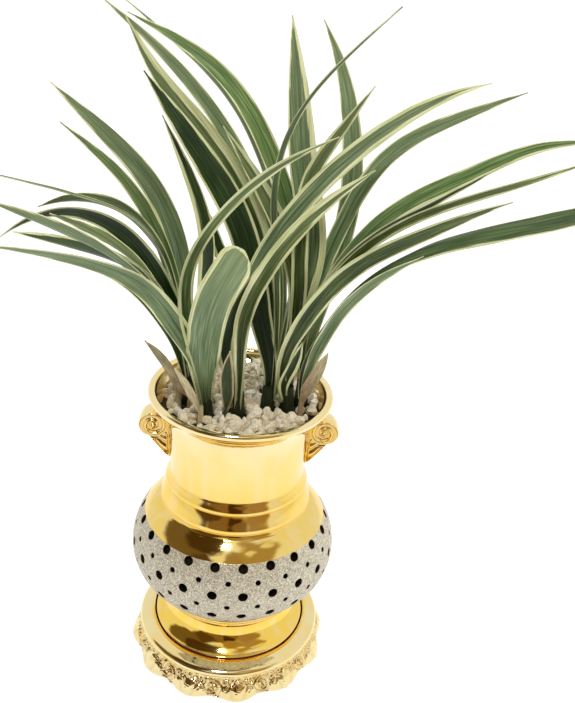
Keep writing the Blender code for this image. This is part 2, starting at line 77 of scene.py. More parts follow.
# Growths
BASE_RADIUS, BASE_TAPER, BASE_FLOOR, BASE_TOP = 7.5, 0.62, 276.8, 312.0
SHEATH_RADIUS, SHEATH_TOP, SHEATH_SPREAD = 3.4, 304.0, 0.5
LEAF_START, LEAF_SPREAD = 298.0, 3.5
BLADE_THICK, TIP_WIDTH = 0.8, 1.2
FOLD_AT_BASE, FOLD_AT_TIP = 38.0, 8.0
BLADE_STATIONS, BLADE_ACROSS = 64, 11

# Leaf tones: how olive, how grey and how bright a blade is
DARK, OLIVE, GREY, BRIGHT = (0.0, 0.0, 0.0), (1.0, 0.0, 0.0), (0.0, 1.0, 0.0), (0.0, 0.0, 1.0)

# A leaf is (width, face, twist, points, (left margin, right margin), tone). The midrib runs from the
# growth's root through the points to the tip. The upper surface looks to the compass angle `face` at
# the root, 0 being +X and -90 the front, and turns by `twist` on the way to the tip. A margin is its
# cream border's width (low on the leaf, high on the leaf), seen with the upper surface towards one
# and the tip up. A last 1.0 gives a blade a blunt, rounded end.
GROWTHS = {
    "growth_left": (
        (-47, -12),
        (
            (11, 10, -20, ((-59, 0, 352), (-78, 20, 417), (-105, 28, 444), (-137, 30, 456), (-237, 0, 487)),
             ((0.7, 0.7), (0.7, 0.7)), OLIVE),
            (20, 0, 90, ((-60, -28, 360), (-78, -45, 406), (-104, -58, 437), (-139, -72, 463), (-190, -92, 490)),
             ((1.0, 1.0), (1.2, 1.0)), GREY),
            (22, 0, 90, ((-65, -10, 361), (-82, -18, 401), (-111, -30, 427), (-142, -42, 442), (-183, -55, 454)),
             ((2.2, 2.4), (2.4, 2.4)), DARK),
            (20, -75, -60, ((-53, -8, 346), (-71, -2, 393), (-105, 4, 437), (-145, -5, 457), (-188, -15, 447),
                            (-204, -18, 435)),
             ((1.2, 2.6), (3.2, 3.0)), DARK),
            (18, 60, -90, ((-60, -14, 358), (-81, -22, 408), (-112, -31, 442), (-157, -42, 466)),
             ((0.9, 0.9), (1.4, 1.0)), OLIVE),
            (16, -15, 90, ((-58, 8, 353), (-78, 28, 413), (-122, 40, 451), (-166, 36, 453), (-185, 34, 446)),
             ((1.0, 1.0), (1.0, 1.0)), (0.2, 0.4, 0.0)),
            (12, -15, 20, ((-52, -18, 313), (-60, -32, 351), (-78, -52, 394), (-111, -72, 432), (-134, -82, 442)),
             ((0.8, 0.8), (1.0, 0.8)), (0.0, 0.5, 0.0)),
            (20, -90, 0, ((-54, 14, 345), (-61, 40, 401), (-94, 68, 466), (-126, 78, 497), (-181, 85, 543)),
             ((2.4, 1.8), (1.0, 0.8)), (0.0, 0.9, 0.0)),
            (13, -70, 0, ((-57, 10, 352), (-74, 32, 410), (-110, 48, 468), (-139, 54, 494), (-168, 58, 515)),
             ((1.2, 1.2), (0.8, 0.8)), (0.5, 0.0, 0.6)),
        ),
    ),
    "growth_front": (
        (-30, -38),
        (
            (20, -60, -60, ((-37, -48, 338), (-60, -70, 398), (-78, -84, 427), (-121, -108, 455),
                            (-191, -130, 470)),
             ((1.2, 1.0), (4.0, 2.6)), GREY),
            (16, -45, 0, ((-38, -50, 339), (-49, -72, 421), (-45, -75, 445), (-11, -66, 496), (21, -56, 521),
                          (63, -45, 541)),
             ((4.4, 5.4), (1.0, 2.8)), (0.9, 0.0, 0.2)),
            (31, 90, 0, ((-33, -55, 342), (-31, -72, 383), (-25, -86, 416), (-18, -91, 435), (-11, -86, 447),
                         (-4, -71, 456)),
             ((1.6, 3.6), (2.0, 3.6)), GREY, 1.0),
        ),
    ),
    "growth_centre": (
        (-2, -36),
        (
            (17, -100, 0, ((-5, -38, 335), (-3, -36, 377), (6, -29, 419), (47, -10, 485), (105, 12, 536),
                           (162, 32, 566), (194, 42, 575)),
             ((1.6, 3.6), (1.0, 4.4)), (0.5, 0.85, 0.0)),
            (15, -100, 0, ((-2, -44, 338), (-2, -48, 382), (16, -50, 435), (60, -48, 492), (93, -46, 518)),
             ((2.0, 6.0), (2.6, 2.0)), OLIVE),
            (13, -100, 0, ((-10, -42, 332), (-15, -44, 357), (-11, -46, 386), (2, -44, 417), (11, -40, 436)),
             ((2.4, 2.0), (1.6, 1.4)), DARK),
            (14, -80, 0, ((-8, -38, 320), (-23, -42, 360), (-34, -34, 401), (-36, -8, 440), (-54, 8, 492),
                          (-76, 14, 536)),
             ((4.5, 3.5), (1.0, 1.0)), DARK),
            (12, -80, 0, ((-3, -28, 320), (-8, -14, 361), (-17, 2, 401), (-29, 12, 434), (-53, 22, 482)),
             ((3.5, 2.6), (1.0, 1.0)), DARK),
        ),
    ),
    "growth_inner": (
        (24, -20),
        (
            (25, -90, 0, ((25, -18, 321), (12, -10, 378), (-6, -2, 447), (-46, 4, 513), (-89, 0, 572)),
             ((2.2, 2.0), (2.4, 2.0)), DARK),
            (17, -90, 0, ((34, -4, 320), (45, 6, 380), (36, 12, 425), (-1, 22, 492), (-27, 26, 528)),
             ((1.4, 1.4), (6.0, 4.5)), OLIVE),
            (18, -90, 0, ((36, 4, 325), (44, 20, 398), (18, 50, 492), (-33, 72, 563), (-73, 84, 587),
                          (-115, 95, 604)),
             ((1.4, 1.0), (1.4, 1.2)), BRIGHT),
            (27, -90, 0, ((36, 3, 326), (47, 14, 381), (54, 24, 430), (45, 44, 482), (37, 68, 537),
                          (26, 100, 611)),
             ((1.8, 1.6), (6.4, 4.6)), (0.1, 0.6, 0.15)),
            (12, -30, 0, ((27, -18, 356), (21, -6, 434), (17, -4, 487), (30, -8, 544), (81, -14, 611),
                          (103, -16, 633)),
             ((0.8, 0.8), (0.8, 0.8)), (0.2, 0.4, 0.0)),
        ),
    ),
    "growth_rear": (
        (27, 10),
        (
            (21, -90, 0, ((27, 14, 312), (18, 26, 402), (-2, 32, 459), (-49, 42, 525), (-84, 50, 563),
                          (-111, 60, 604)),
             ((1.6, 1.4), (8.0, 7.0)), OLIVE),
            (14, -90, 0, ((29, 16, 312), (23, 40, 413), (-13, 64, 495), (-44, 78, 535), (-85, 92, 574),
                          (-141, 105, 615)),
             ((1.2, 1.2), (1.4, 1.2)), GREY),
            (12, -30, 0, ((31, 18, 312), (29, 54, 413), (1, 80, 497), (-20, 90, 531), (-91, 110, 592),
                          (-127, 120, 617)),
             ((0.6, 0.6), (0.6, 0.6)), (0.2, 0.5, 0.0)),
        ),
    ),
    "growth_right": (
        (42, -20),
        (
            (18, -90, 10, ((34, -26, 326), (40, -36, 365), (59, -46, 408), (86, -54, 443), (131, -62, 474),
                           (180, -68, 500), (196, -70, 507)),
             ((6.4, 2.2), (1.6, 1.2)), (0.5, 0.1, 0.0)),
            (11, -90, 0, ((37, -26, 316), (42, -29, 333), (50, -34, 363)),
             ((2.2, 2.0), (2.2, 2.0)), DARK),
            (15, -90, 0, ((43, -8, 332), (45, -3, 399), (52, 22, 500), (65, 28, 521), (97, 42, 566)),
             ((2.6, 2.2), (2.6, 2.2)), OLIVE),
            (16, -90, 0, ((44, -12, 329), (64, -6, 391), (115, 4, 466), (181, 12, 505), (234, 18, 529),
                          (287, 20, 538)),
             ((1.0, 1.0), (3.0, 2.4)), BRIGHT),
            (9, -90, 0, ((41, -18, 329), (55, -24, 389), (87, -28, 441), (127, -32, 475), (196, -36, 507),
                         (269, -40, 538)),
             ((1.6, 1.6), (1.6, 1.6)), OLIVE),
            (9, -90, 30, ((42, -15, 330), (59, -14, 394), (100, -12, 451), (142, -12, 481), (204, -10, 522)),
             ((1.6, 1.4), (1.6, 1.4)), DARK),
        ),
    ),
    "growth_outer": (
        (55, -8),
        (
            (26, -60, 90, ((54, -14, 326), (66, -25, 371), (93, -38, 420), (135, -52, 458), (206, -66, 487),
                           (275, -76, 510), (306, -80, 518)),
             ((3.0, 0.8), (0.8, 0.8)), (0.0, 0.0, 0.3)),
            (12, -90, 0, ((57, -18, 320), (65, -33, 361), (84, -52, 410), (111, -66, 443), (134, -74, 461)),
             ((1.4, 1.0), (1.0, 0.8)), GREY),
            (15, -90, 0, ((53, 8, 330), (81, 42, 444), (117, 56, 505), (178, 68, 541), (236, 78, 564)),
             ((1.2, 1.0), (1.2, 1.0)), (0.0, 1.0, 0.0)),
            (20, -90, 10, ((56, 5, 317), (65, 26, 363), (86, 50, 454), (83, 66, 526), (66, 84, 585),
                           (53, 92, 610)),
             ((1.4, 1.2), (1.6, 1.2)), GREY),
        ),
    ),
}

# A dry sheath is (root, (width, face, twist, points), brown, fresh): brown runs from grey-beige at 0 to
# red-brown at 1, and fresh says how green its middle still is.
SHEATHS = {
    "dry_sheath_left": ((-56, -20), (8, -60, 20, ((-60, -24, 315), (-70, -29, 337), (-84, -34, 356))), 0.0, 0.1),
    "dry_sheath_side": ((-45, -25), (6, -60, 0, ((-52, -30, 308), (-61, -36, 326), (-68, -40, 338))), 0.7, 0.0),
    "dry_sheath_front": ((-34, -50), (7, -80, 10, ((-39, -56, 312), (-46, -64, 332), (-54, -72, 350))), 0.05, 0.0),
    "dry_sheath_centre": ((-13, -44), (12, -70, 0, ((-12, -52, 316), (-13, -56, 340), (-11, -57, 362))), 0.6, 1.0),
    "dry_sheath_right": ((54, -27), (11, -120, 10, ((57, -33, 314), (63, -40, 334), (71, -50, 362))), 0.55, 0.0),
}


# Meshes


def grid_faces(rows, columns, closed_rows=False, closed_columns=False):
    """Quads between neighbours of a rows by columns grid of points numbered along its rows."""
    row = np.arange(rows if closed_rows else rows - 1)[:, None]
    column = np.arange(columns if closed_columns else columns - 1)[None, :]
    below, after = (row + 1) % rows, (column + 1) % columns
    corners = (row * columns + column, row * columns + after, below * columns + after, below * columns + column)
    return np.stack(np.broadcast_arrays(*corners), axis=-1).reshape(-1, 4)


def sheet(points, values=None, closed_rows=False, closed_columns=False):
    """A part of a piece from a (rows, columns, 3) array: its points, quads and values at each point."""
    rows, columns = points.shape[:2]
    flat = {name: np.broadcast_to(value, (rows, columns)).ravel() for name, value in (values or {}).items()}
    return points.reshape(-1, 3), grid_faces(rows, columns, closed_rows, closed_columns), flat


def joined(parts):
    """Several parts as one, their quads renumbered."""
    starts = np.cumsum([0] + [len(points) for points, _, _ in parts[:-1]])
    points = np.concatenate([points for points, _, _ in parts])
    faces = np.concatenate([faces + start for (_, faces, _), start in zip(parts, starts)])
    values = {name: np.concatenate([value[name] for _, _, value in parts]) for name in parts[0][2]}
    return points, faces, values


def piece(name, part, material, nodes, weld=0.005, crease=40.0):
    """A mesh object from a part: points nearer than `weld` merge, so that seams and poles close, its
    faces are turned outwards, and edges sharper than `crease` stay sharp."""
    points, faces, values = part
    mesh = bpy.data.meshes.new(name)
    mesh.from_pydata((points * MM).tolist(), [], faces.tolist())
    for value_name, value in values.items():
        layer = mesh.attributes.new(value_name, "FLOAT", "POINT")
        layer.data.foreach_set("value", np.ascontiguousarray(value, np.float32))
    shape = bmesh.new()
    shape.from_mesh(mesh)
    bmesh.ops.remove_doubles(shape, verts=shape.verts, dist=weld * MM)
    bmesh.ops.dissolve_degenerate(shape, edges=shape.edges, dist=weld * MM)
    bmesh.ops.recalc_face_normals(shape, faces=shape.faces)
    shape.to_mesh(mesh)
    shape.free()
    mesh.shade_smooth()
    mesh.set_sharp_from_angle(angle=math.radians(crease))
    thing = bpy.data.objects.new(name, mesh)
    bpy.context.scene.collection.objects.link(thing)
    mesh.materials.append(material)
    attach(thing, "root")
    if nodes:
        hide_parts(*nodes)
    return thing


def through(points, where):
    """A natural cubic spline through the points, at shares `where` of its length along straight runs
    between them: one solve gives the second derivatives, and each run is their cubic."""
    points = np.array(points, float)
    runs = np.linalg.norm(np.diff(points, axis=0), axis=1)
    knots = np.concatenate(([0.0], np.cumsum(runs))) / runs.sum()
    gaps = np.diff(knots)
    slopes = np.diff(points, axis=0) / gaps[:, None]
    inner = np.arange(1, len(points) - 1)
    matrix = np.eye(len(points))
    matrix[inner, inner - 1] = gaps[:-1]
    matrix[inner, inner] = 2.0 * (gaps[:-1] + gaps[1:])
    matrix[inner, inner + 1] = gaps[1:]
    bends = np.zeros_like(points)
    bends[inner] = 6.0 * np.diff(slopes, axis=0)
    bends = np.linalg.solve(matrix, bends)
    run = np.clip(np.searchsorted(knots, where, side="right") - 1, 0, len(gaps) - 1)
    gap = gaps[run][:, None]
    before = (knots[run + 1] - where)[:, None] / gap
    after = 1.0 - before
    curve = (before**3 - before) * bends[run] + (after**3 - after) * bends[run + 1]
    return before * points[run] + after * points[run + 1] + curve * gap**2 / 6.0


def smoothstep(value, low, high):
    """0 below low, 1 above high, and a cubic ease between them."""
    share = np.clip((value - low) / (high - low), 0.0, 1.0)
    return share * share * (3.0 - 2.0 * share)


def arc(centre, radius, start, end, count):
    """Points on a circle in the (radius, height) plane from one angle to another."""
    angles = np.radians(np.linspace(start, end, count))
    return np.stack((centre[0] + radius * np.cos(angles), centre[1] + radius * np.sin(angles)), axis=1)


def spun(profile, steps=ROUND_STEPS, start=0.0):
    """The (radius, height) profile carried once round the Z axis, from the angle `start`."""
    turns = math.radians(start) + math.tau * np.arange(steps) / steps
    radius, height = profile[:, 0], profile[:, 1]
    x = radius[:, None] * np.cos(turns)
    y = radius[:, None] * np.sin(turns)
    return np.stack((x, y, np.broadcast_to(height[:, None], x.shape)), axis=-1)


# Pot


def bulb_radius(height):
    """An ellipse round BULB_MID, taller above it than below."""
    reach = np.where(height > BULB_MID, BULB_RISE, BULB_DROP)
    return BULB_CORE + (BULB_WIDEST - BULB_CORE) * np.sqrt(1.0 - ((height - BULB_MID) / reach) ** 2)


def bulb_lean(height):
    """The angle in radians that the bulb's outward normal rises above the level."""
    return np.arctan(bulb_radius(height - 0.5) - bulb_radius(height + 0.5))


def neck_profile():
    """From the rolled lip down the flared neck and over two sloping collars to the top of the band."""
    lip = arc((LIP_MID_RADIUS, LIP_TOP - LIP_ROLL), LIP_ROLL, 180, -40, 18)
    neck = through(((82.0, 289.6), (77.2, 286.0), (71.2, 278.0), (67.6, 262.0), (65.5, 240.0), (64.0, 219.0),
                    (63.9, 213.4)), np.linspace(0, 1, 40))
    upper_skirt = through(((65.2, 211.2), (67.4, 206.0), (68.3, 203.6), (68.0, 201.6), (66.6, 200.4)),
                          np.linspace(0, 1, 14))
    lower_skirt = through(((65.8, 199.2), (66.9, 197.2), (71.0, 187.4), (71.7, 185.2), (71.4, 183.0),
                           (70.6, 181.4)), np.linspace(0, 1, 18))
    heights = np.linspace(178.6, ROW_EDGES[0], 12)
    shoulder = np.stack((bulb_radius(heights), heights), axis=1)
    return np.concatenate((lip, neck, upper_skirt, lower_skirt, shoulder))


def foot_profile():
    """From the foot of the band over two ring mouldings, the waist and the bell foot to the rest ring."""
    heights = np.linspace(ROW_EDGES[-1], 84.6, 6)
    bulb = np.stack((bulb_radius(heights), heights), axis=1)
    upper_ring = arc((72.6, 81.3), 2.6, 60, -75, 10)
    lower_ring = arc((69.8, 76.2), 2.7, 55, -80, 10)
    bell = through(((68.0, 73.0), (61.6, 69.5), (59.2, 64.0), (59.4, 56.0), (62.6, 48.0), (68.4, 41.2),
                    (74.2, 37.4)), np.linspace(0, 1, 30))
    edge = arc((74.2, 35.9), 1.4, 70, -30, 7)
    stand = np.array(((75.2, 33.0), (73.6, SAUCER_FLOOR + 0.4), (67.0, SAUCER_FLOOR + 0.4), (48.0, 60.0),
                      (8.0, 60.0)))
    return np.concatenate((bulb, upper_ring, lower_ring, bell, edge, stand))


def inner_profile():
    """The inside above the band, from the band's top up to the lip, and below it down to the drain."""
    upper = np.array(((bulb_radius(166.5) - WALL, 166.5), (60.0, 186.0), (60.8, 240.0), (64.6, 266.0),
                      (67.6, 280.0), (73.8, 287.0), (77.2, 290.6), (LIP_MID_RADIUS - LIP_ROLL, LIP_TOP - LIP_ROLL)))
    lower = np.array(((8.0, 60.0), (8.0, 66.0), (52.5, 66.0), (bulb_radius(92.5) - WALL - 4.0, 84.0),
                      (bulb_radius(92.5) - WALL, 92.5)))
    return upper, lower


def on_wall(turn, level, depth):
    """Points at these angles and heights, `depth` in from the bulb's surface."""
    out = bulb_radius(level) - depth
    return np.stack((out * np.cos(turn), out * np.sin(turn), level), axis=-1)


def vent_cells():
    """The wall round the holes, a cell for each: every cell is a grid whose columns go round the hole
    and whose rows go from the cell's outer rectangle, over the hole's rounded lip, down its bore and out
    to the same rectangle on the inside of the wall."""
    across = np.linspace(-0.5, 0.5, CELL_ACROSS + 1)
    up = np.linspace(0.0, 1.0, CELL_UP + 1)
    ring_a = np.concatenate((across[:-1], np.full(CELL_UP, 0.5), across[:0:-1], np.full(CELL_UP, -0.5)))
    ring_b = np.concatenate((np.zeros(CELL_ACROSS), up[:-1], np.ones(CELL_ACROSS), up[:0:-1]))
    pitch = math.tau / VENTS_A_ROW
    parts = []
    for row, (height, radius) in enumerate(VENT_ROWS):
        low, high = ROW_EDGES[row + 1], ROW_EDGES[row]
        middle, lean = float(bulb_radius(height)), float(bulb_lean(height))
        edge_turn, edge_height = ring_a * pitch, low + (high - low) * ring_b
        angle = np.arctan2((edge_height - height) / math.cos(lean), edge_turn * middle)
        hole_turn = (radius + VENT_LIP) * np.cos(angle) / middle
        hole_height = height + (radius + VENT_LIP) * np.sin(angle) * math.cos(lean)
        shares = np.array((0.0, 0.35, 0.65, 0.85, 1.0))[:, None]
        turn = edge_turn + (hole_turn - edge_turn) * shares
        level = edge_height + (hole_height - edge_height) * shares
        turns = math.radians(VENT_TURN) + pitch * (np.arange(VENTS_A_ROW) + 0.5 * (row % 2))
        turns = turns[:, None, None]
        outer = on_wall(turns + turn, level + 0 * turns, 0.0)
        inner = on_wall(turns + edge_turn, edge_height + 0 * turns, WALL)
        ease = np.radians(np.array((30.0, 60.0, 90.0)))
        bore_radius = np.concatenate((radius + VENT_LIP * (1 - np.sin(ease)), (radius, radius)))[:, None]
        bore_depth = np.concatenate((0.05 + VENT_LIP * (1 - np.cos(ease)), (WALL * 0.5, WALL)))[:, None]
        level_way = np.concatenate((np.cos(turns), np.sin(turns), 0 * turns), axis=-1)[:, :, None, :]
        along = np.concatenate((-np.sin(turns), np.cos(turns), 0 * turns), axis=-1)[:, :, None, :]
        upright = np.array((0.0, 0.0, 1.0))
        outward = level_way * math.cos(lean) + upright * math.sin(lean)
        slope = upright * math.cos(lean) - level_way * math.sin(lean)
        centre = level_way * middle + upright * height
        spoke = along * np.cos(angle)[:, None] + slope * np.sin(angle)[:, None]
        bore = centre + spoke * bore_radius[:, :, None] - outward * bore_depth[:, :, None]
        cells = np.concatenate((outer, bore, inner), axis=1)
        dark = np.concatenate((np.zeros(len(shares) + 2), np.ones(cells.shape[1] - len(shares) - 2)))[:, None]
        parts += [sheet(cell, {"bore": dark, "bare": 0.0}, closed_columns=True) for cell in cells]
    return parts


def make_pot():
    """The pot's turned runs above and below the vented wall, inside and out, with that wall's cells."""
    start = VENT_TURN + 180.0 / VENTS_A_ROW
    inner_top, inner_foot = inner_profile()
    parts = []
    for profile in (neck_profile(), foot_profile(), inner_top, inner_foot):
        bare = (profile[:, 1] < 36.5) & (profile[:, 0] > 70.0)
        values = {"bore": 0.0, "bare": bare[:, None].astype(float)}
        parts.append(sheet(spun(profile, start=start), values, closed_columns=True))
    piece("pot_body", joined(parts + vent_cells()), GOLD, ["pot"])


def ear_outline(count):
    """Round an ear: up the neck's side, over the scroll from its top to its curl, and down its tail."""
    root = np.array(((62.0, EAR_FOOT), (62.8, 240.0), (65.0, 262.0), (69.0, 279.0), (74.0, 273.5)))
    volute = arc(EAR_EYE, EAR_SCROLL, 100, -50, 14)
    tail = np.array(((82.5, 243.0), (75.0, 233.5), (68.0, 225.0), (64.5, EAR_FOOT)))
    corners = np.concatenate((root, volute, tail, root[:1]))
    runs = np.concatenate(([0.0], np.cumsum(np.linalg.norm(np.diff(corners, axis=0), axis=1))))
    where = np.linspace(0.0, runs[-1], count, endpoint=False)
    return np.stack([np.interp(where, runs, corners[:, axis]) for axis in (0, 1)], axis=1)


def ear_points(side):
    """A plate in the XZ plane: each row is the outline drawn in towards the scroll's eye, from the front
    eye over the rim, which is a quarter circle each way, to the back eye. Both faces carry a spiral
    ridge of rising turns round the eye, which runs on as a border down the tail, with leaf flutes that
    fan between them. Returns the points and the painted shade of the carving's hollows, 0 to 1, which
    grows with how deep each point lies in the carving."""
    outline = ear_outline(200)
    rim = np.radians((20, 40, 60, 78, 90))
    shares = np.concatenate((np.linspace(0.0, 0.9, 40), 1.0 - 0.1 * (1.0 - np.sin(rim))))
    rounding = np.concatenate((np.ones(40), np.cos(rim)))
    plane = EAR_EYE + shares[:, None, None] * (outline - EAR_EYE)
    away = plane - EAR_EYE
    distance = np.linalg.norm(away, axis=-1)
    angle = np.arctan2(away[..., 1], away[..., 0]) / math.tau
    turn = distance / 6.8 + angle
    in_scroll = 1.0 - smoothstep(distance, 13.0, 16.0)
    ridge = np.exp(-(((turn - np.round(turn)) / 0.2) ** 2)) * in_scroll
    border = np.exp(-(((shares[:, None] - 0.86) / 0.07) ** 2)) * (1.0 - in_scroll)
    veins = 0.5 + 0.5 * np.cos(angle * math.tau * 17.0 + distance * 0.35)
    flutes = veins * (1.0 - in_scroll) * (1.0 - smoothstep(shares[:, None], 0.7, 0.78))
    eye = 1.3 * (1.0 - smoothstep(distance, 2.0, 3.8))
    height = np.clip(np.maximum(np.maximum(ridge, border), 0.75 * flutes), 0.0, 1.0) + eye
    half = (EAR_THICK / 2.0 - 3.0) * rounding[:, None] + 2.4 * height * rounding[:, None]
    front = np.stack((side * plane[..., 0], -half, plane[..., 1]), axis=-1)
    back = np.stack((side * plane[..., 0], half, plane[..., 1]), axis=-1)
    # Painted shade: the hollows of the carving are darkened in the gold's colour.
    recess = 0.6 * (1.0 - np.clip(height, 0.0, 1.0)) ** 2 * rounding[:, None] * (shares[:, None] < 0.93)
    return np.concatenate((front, back[::-1])), np.concatenate((recess, recess[::-1]))


def make_ears():
    """Both ears, the left one the mirror of the right."""
    for name, side in (("ear_left", -1), ("ear_right", 1)):
        points, recess = ear_points(side)
        piece(name, sheet(points, {"recess": recess}, closed_columns=True), GOLD, ["pot"])


# Saucer


def saucer_carving(swirl, height):
    """The belt's ornament in one lobe and its neighbours: a leaf of nine flutes that fan up from the
    lobe's foot inside a scalloped outline, a spiral ridge round a point between two lobes, and foliage
    over the rest, the crests of one wave bent by another. Returns 0 in the ground to 1 on the crests."""
    lobe = math.tau * 94.0 / SAUCER_LOBES
    from_middle = (np.mod(swirl + math.pi, math.tau) - math.pi) / math.tau * lobe
    fan = np.arctan2(from_middle, height + 7.0)
    reach = np.hypot(from_middle, height + 7.0)
    leaf = 1.0 - smoothstep(reach - 3.0 * np.abs(np.cos(4.5 * fan)) - 9.0 * np.cos(fan), 14.5, 16.5)
    flutes = 0.3 + 0.7 * np.abs(np.cos(4.5 * fan)) ** 0.7
    across = np.abs(from_middle) - lobe / 2.0
    distance = np.hypot(across, height - 15.5)
    turn = distance / 4.4 + np.sign(from_middle) * np.arctan2(height - 15.5, across) / math.tau
    round_it = 1.0 - smoothstep(distance, 8.0, 10.0)
    spiral = np.exp(-(((turn - np.round(turn)) / 0.22) ** 2))
    bent = 1.6 * np.sin(3.0 * swirl + height / 2.1) + 1.1 * np.sin(5.0 * swirl - height / 1.6)
    foliage = 1.0 - np.abs(np.sin(2.5 * swirl + height / 1.9 + bent))
    ground = round_it * spiral + (1.0 - round_it) * foliage
    return np.clip(leaf * flutes + (1.0 - leaf) * ground + 0.2 * (foliage - 0.5), 0.0, 1.0)


def make_saucer():
    """A turned profile whose lower edge swells in lobes by a cosine round the axis, with the carving on
    the belt between the edge and the shoulder."""
    belt = through(((93.5, 0.0), (95.6, 3.0), (96.0, 8.5), (94.6, 14.0), (92.0, 19.0), (90.8, 24.0),
                    (91.9, 28.6)), np.linspace(0, 1, 64))
    shoulder = through(((91.9, 28.6), (91.0, 31.2), (87.0, 33.9), (82.0, 35.8), (78.4, 36.7), (77.2, 36.3)),
                       np.linspace(0, 1, 22))
    well = np.array(((SAUCER_WELL, 35.0), (SAUCER_WELL, SAUCER_FLOOR + 2.0), (75.6, SAUCER_FLOOR),
                     (0.001, SAUCER_FLOOR)))
    under = np.array(((0.001, 0.0), (92.6, 0.0)))
    profile = np.concatenate((under, belt, shoulder[1:], well))
    points = spun(profile, steps=720)
    turn = np.arctan2(points[..., 1], points[..., 0])
    height = points[..., 2]
    radius = np.linalg.norm(points[..., :2], axis=-1)
    outside = smoothstep(radius, 60.0, 90.0) * (radius > SAUCER_WELL + 2.0)
    swirl = SAUCER_LOBES * (turn - math.radians(LOBE_TURN))
    lobes = LOBE_DEPTH * np.clip(1.0 - height / 30.0, 0, 1) * np.cos(swirl)
    zone = smoothstep(height, 1.5, 4.5) * (1.0 - smoothstep(height, 23.0, 27.5))
    carving = saucer_carving(swirl, height)
    grow = (lobes + 1.5 * zone * carving) * outside
    scale = (radius + grow) / np.maximum(radius, 1e-6)
    points = points * np.stack((scale, scale, np.ones_like(scale)), axis=-1)
    # Painted shade: the hollows of the carving are darkened in the gold's colour.
    recess = 0.7 * zone * outside * (1.0 - carving) ** 2
    piece("saucer_dish", sheet(points, {"recess": recess}, closed_columns=True), GOLD, ["saucer"])


# Medium and stones


def make_bark():
    """The medium under the stones: a turned side just inside the pot's wall, and a low rough dome."""
    side = np.array(((0.001, 66.6), (51.5, 66.6), (77.6, 92.5), (84.0, 105.4), (92.6, 127.8), (87.6, 150.5),
                     (76.4, 166.5), (59.0, 186.0), (59.6, 240.0), (66.0, 279.0)))
    radii = np.linspace(BARK_RADIUS, 0.001, 40)
    top = np.stack((radii, BARK_TOP + BARK_HEAP * (1.0 - (radii / BARK_RADIUS) ** 2)), axis=1)
    points = spun(np.concatenate((side, top)), steps=120)
    x, y = points[..., 0], points[..., 1]
    rough = np.sin(x * 0.9 + 2.0 * np.sin(y * 0.31)) * np.sin(y * 0.8 + 2.0 * np.sin(x * 0.37))
    points[..., 2] += np.where(points[..., 2] > BARK_TOP + 0.01, 0.8 * rough, 0.0)
    piece("bark_medium", sheet(points, closed_columns=True), BARK, ["potting_medium"])


def stone_places():
    """Centres and sizes of the stones: a jittered hexagonal layer on the bark's dome, then a sparser
    one lying on it, both clear of the growths' bases."""
    rng = np.random.default_rng(SEED)
    span = int(BARK_RADIUS / STONE_SPACING) + 2
    column, row = np.meshgrid(np.arange(-span, span + 1), np.arange(-span, span + 1))
    flat = np.stack((column + 0.5 * (row % 2), row * 0.866), axis=-1).reshape(-1, 2) * STONE_SPACING
    lower = flat + rng.uniform(-1.6, 1.6, flat.shape)
    upper = (flat + STONE_SPACING * 0.5 + rng.uniform(-2.6, 2.6, flat.shape))[rng.random(len(flat)) < 0.6]
    places = np.concatenate((lower, upper))
    lift = np.concatenate((np.zeros(len(lower)), np.full(len(upper), 4.2)))
    size = STONE_RADIUS * rng.uniform(0.72, 1.22, len(places))
    roots = np.array([growth[0] for growth in GROWTHS.values()] + [sheath[0] for sheath in SHEATHS.values()])
    clear_of = np.array([BASE_RADIUS] * len(GROWTHS) + [2.6] * len(SHEATHS))
    to_root = np.linalg.norm(places[:, None] - roots[None], axis=-1) - clear_of
    radius = np.linalg.norm(places, axis=1)
    kept = (to_root.min(axis=1) > size * 0.7) & (radius < BARK_RADIUS - 0.3 - size * 0.8)
    dome = BARK_TOP + 1.6 + BARK_HEAP * (1.0 - (radius / BARK_RADIUS) ** 2)
    return np.column_stack((places, dome + lift + rng.uniform(-0.5, 0.9, len(places))))[kept], size[kept]


def make_stones():
    """Each stone is a sphere cut by nine random planes: its reach in a direction is a soft minimum of
    the planes' reaches, which rounds the edges between the facets."""
    centres, sizes = stone_places()
    rng = np.random.default_rng(SEED + 1)
    rings, segments = 7, 8
    polar = np.linspace(0.0, math.pi, rings)[:, None]
    turn = math.tau * np.arange(segments)[None, :] / segments
    unit = np.stack(
        (np.sin(polar) * np.cos(turn), np.sin(polar) * np.sin(turn), np.cos(polar) + 0.0 * turn), axis=-1
    )
    planes = rng.normal(size=(len(centres), 9, 3))
    planes /= np.linalg.norm(planes, axis=-1, keepdims=True)
    offset = rng.uniform(0.55, 0.95, (len(centres), 9))
    facing = np.einsum("rsk,npk->nrsp", unit, planes)
    reach = offset[:, None, None, :] / np.maximum(facing, 0.12)
    reach = np.concatenate((reach, np.full(reach.shape[:3] + (1,), 1.12)), axis=-1)
    soft = -np.log(np.exp(-40.0 * reach).sum(axis=-1)) / 40.0 + 0.03
    squash = rng.uniform(0.74, 1.18, (len(centres), 1, 1, 3))
    points = unit[None] * soft[..., None] * squash * sizes[:, None, None, None] + centres[:, None, None, :]
    shade = rng.random(len(centres))
    parts = [sheet(stone, {"stone_shade": tone}, closed_columns=True) for stone, tone in zip(points, shade)]
    piece("pumice_stones", joined(parts), PUMICE, ["potting_medium"], weld=0.002, crease=28.0)


# Leaves


def width_share(along, blunt=0.0):
    """A blade's width along it: half at the base, full by two fifths, then drawn in to the tip. A blunt
    blade keeps its width longer and ends in a half circle."""
    rise = smoothstep(along, 0.0, 0.38)
    fall = np.clip((along - 0.5) / 0.5, 0.0, 1.0)
    late = np.clip((along - 0.905) / 0.095, 0.0, 1.0)
    pointed, rounded = 1.0 - fall**2.4, np.sqrt(1.0 - late**2)
    return (0.5 + 0.5 * rise) * (pointed * (1.0 - blunt) + rounded * blunt)


